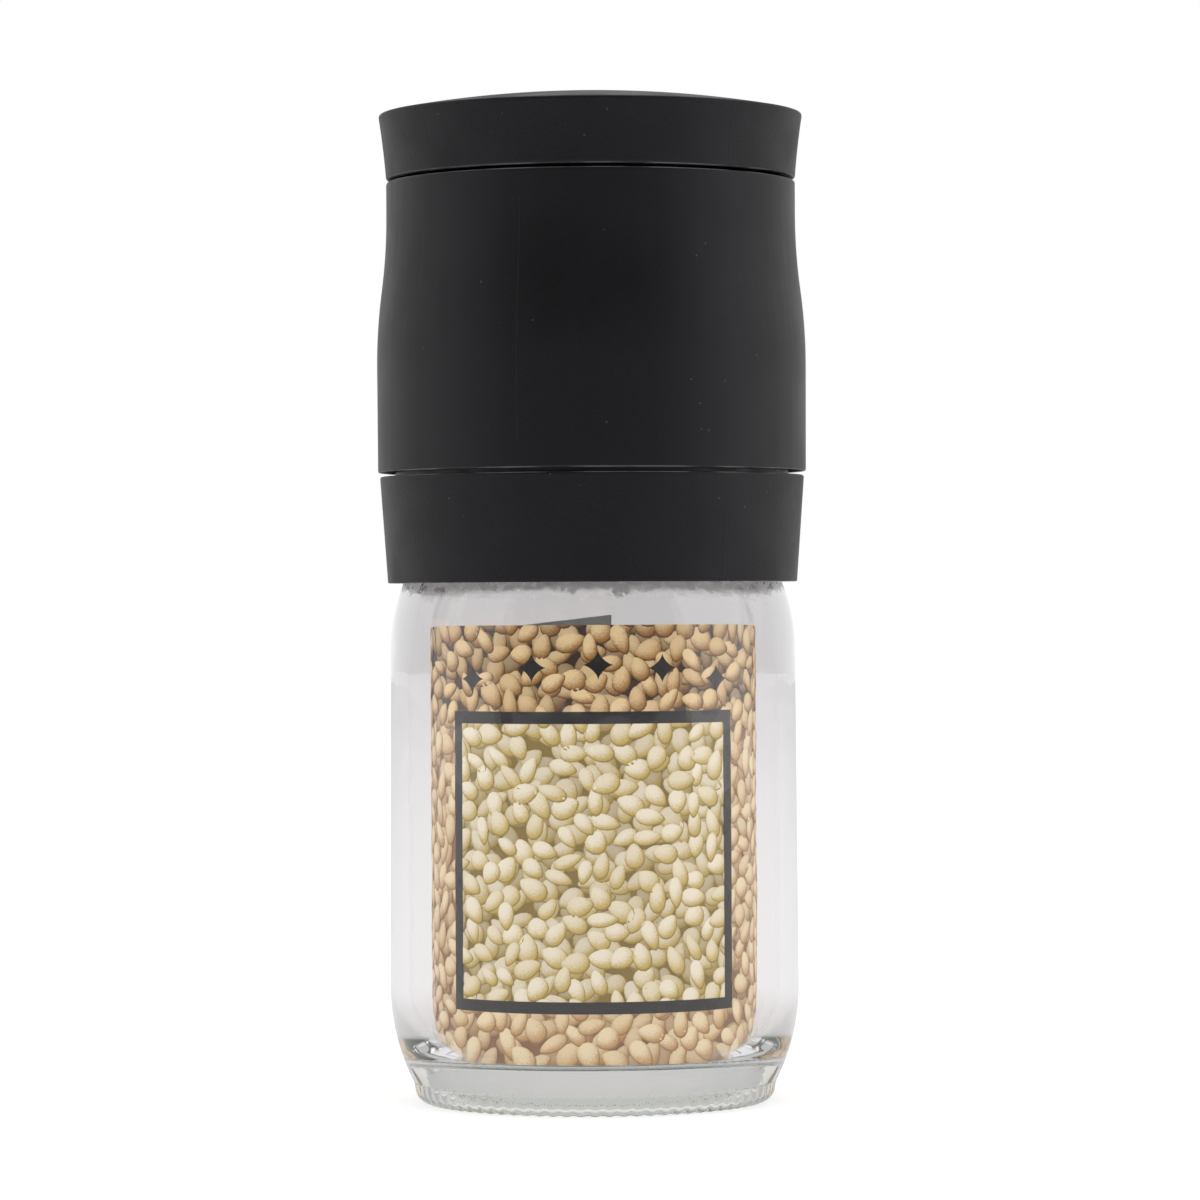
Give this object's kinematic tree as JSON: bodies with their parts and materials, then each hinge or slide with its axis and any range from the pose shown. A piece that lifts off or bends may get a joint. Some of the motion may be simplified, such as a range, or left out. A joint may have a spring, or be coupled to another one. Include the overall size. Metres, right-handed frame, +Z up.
{
  "type": "sesame grinder",
  "caption": "Hand-cranked sesame mill: glass jar with a screw-on black head, turning grip, ceramic conical burrs, grind adjuster and push-on cap.",
  "frame": {"origin": "centre of the jar's foot, on the surface that it stands on", "axes": "+Z up along the mill's axis from the jar to the cap, -Y towards the front of the printed card"},
  "size_m": [0.063, 0.063, 0.1478],
  "materials": {
    "glass": "clear blown soda glass with a knurled heel",
    "printed_paper": "printed card with a seed pattern and a plain black frame",
    "soft_seal": "soft white food-grade sealing ring",
    "black_plastic": "black moulded plastic with a fine matt grain",
    "inner_plastic": "dark satin moulded plastic",
    "steel": "stainless steel",
    "white_ceramic": "unglazed white alumina"
  },
  "bodies": {
    "jar": {"glass_jar": "glass", "printed_card": "printed_paper"},
    "seal": {"jar_gasket": "soft_seal"},
    "collar": {"jar_collar": "black_plastic", "slip_ring": "inner_plastic", "snap_ring": "steel", "shaft_bridge": "inner_plastic", "bridge_screws": "steel", "centre_shaft": "steel", "burr_spring": "steel"},
    "rotor": {"inner_burr": "white_ceramic", "burr_hub": "inner_plastic", "spring_washer": "steel", "adjuster_washer": "steel"},
    "adjuster": {"grind_adjuster": "inner_plastic"},
    "grip": {"grip_body": "black_plastic", "burr_holder": "inner_plastic", "holder_screws": "steel", "outer_burr": "white_ceramic", "burr_clamp_ring": "inner_plastic"},
    "cap": {"cap": "black_plastic"}
  },
  "joints": [
    {"name": "head_rise", "type": "slide", "parent": "jar", "child": "seal", "axis": [0, 0, 1], "range_m": [0, 0.018]},
    {"name": "head_unscrew", "type": "hinge", "parent": "seal", "child": "collar", "pos_m": [0, 0, 0.09], "axis": [0, 0, 1], "range_deg": [0, 1620]},
    {"name": "grip_turn", "type": "hinge", "parent": "collar", "child": "grip", "pos_m": [0, 0, 0.095], "axis": [0, 0, 1], "continuous": true},
    {"name": "burr_travel", "type": "slide", "parent": "collar", "child": "rotor", "axis": [0, 0, 1], "range_m": [-0.0012, 0], "deforming": ["burr_spring"]},
    {"name": "knob_turn", "type": "hinge", "parent": "rotor", "child": "adjuster", "pos_m": [0, 0, 0.125], "axis": [0, 0, 1], "range_deg": [-540, 0]},
    {"name": "cap_lift", "type": "slide", "parent": "grip", "child": "cap", "axis": [0, 0, 1], "range_m": [0, 0.03]}
  ],
  "couplings": [
    {"joint": "head_rise", "follows": "head_unscrew", "m_per_rad": 0.0006366},
    {"joint": "knob_turn", "follows": "burr_travel", "rad_per_m": 7853.9}
  ]
}
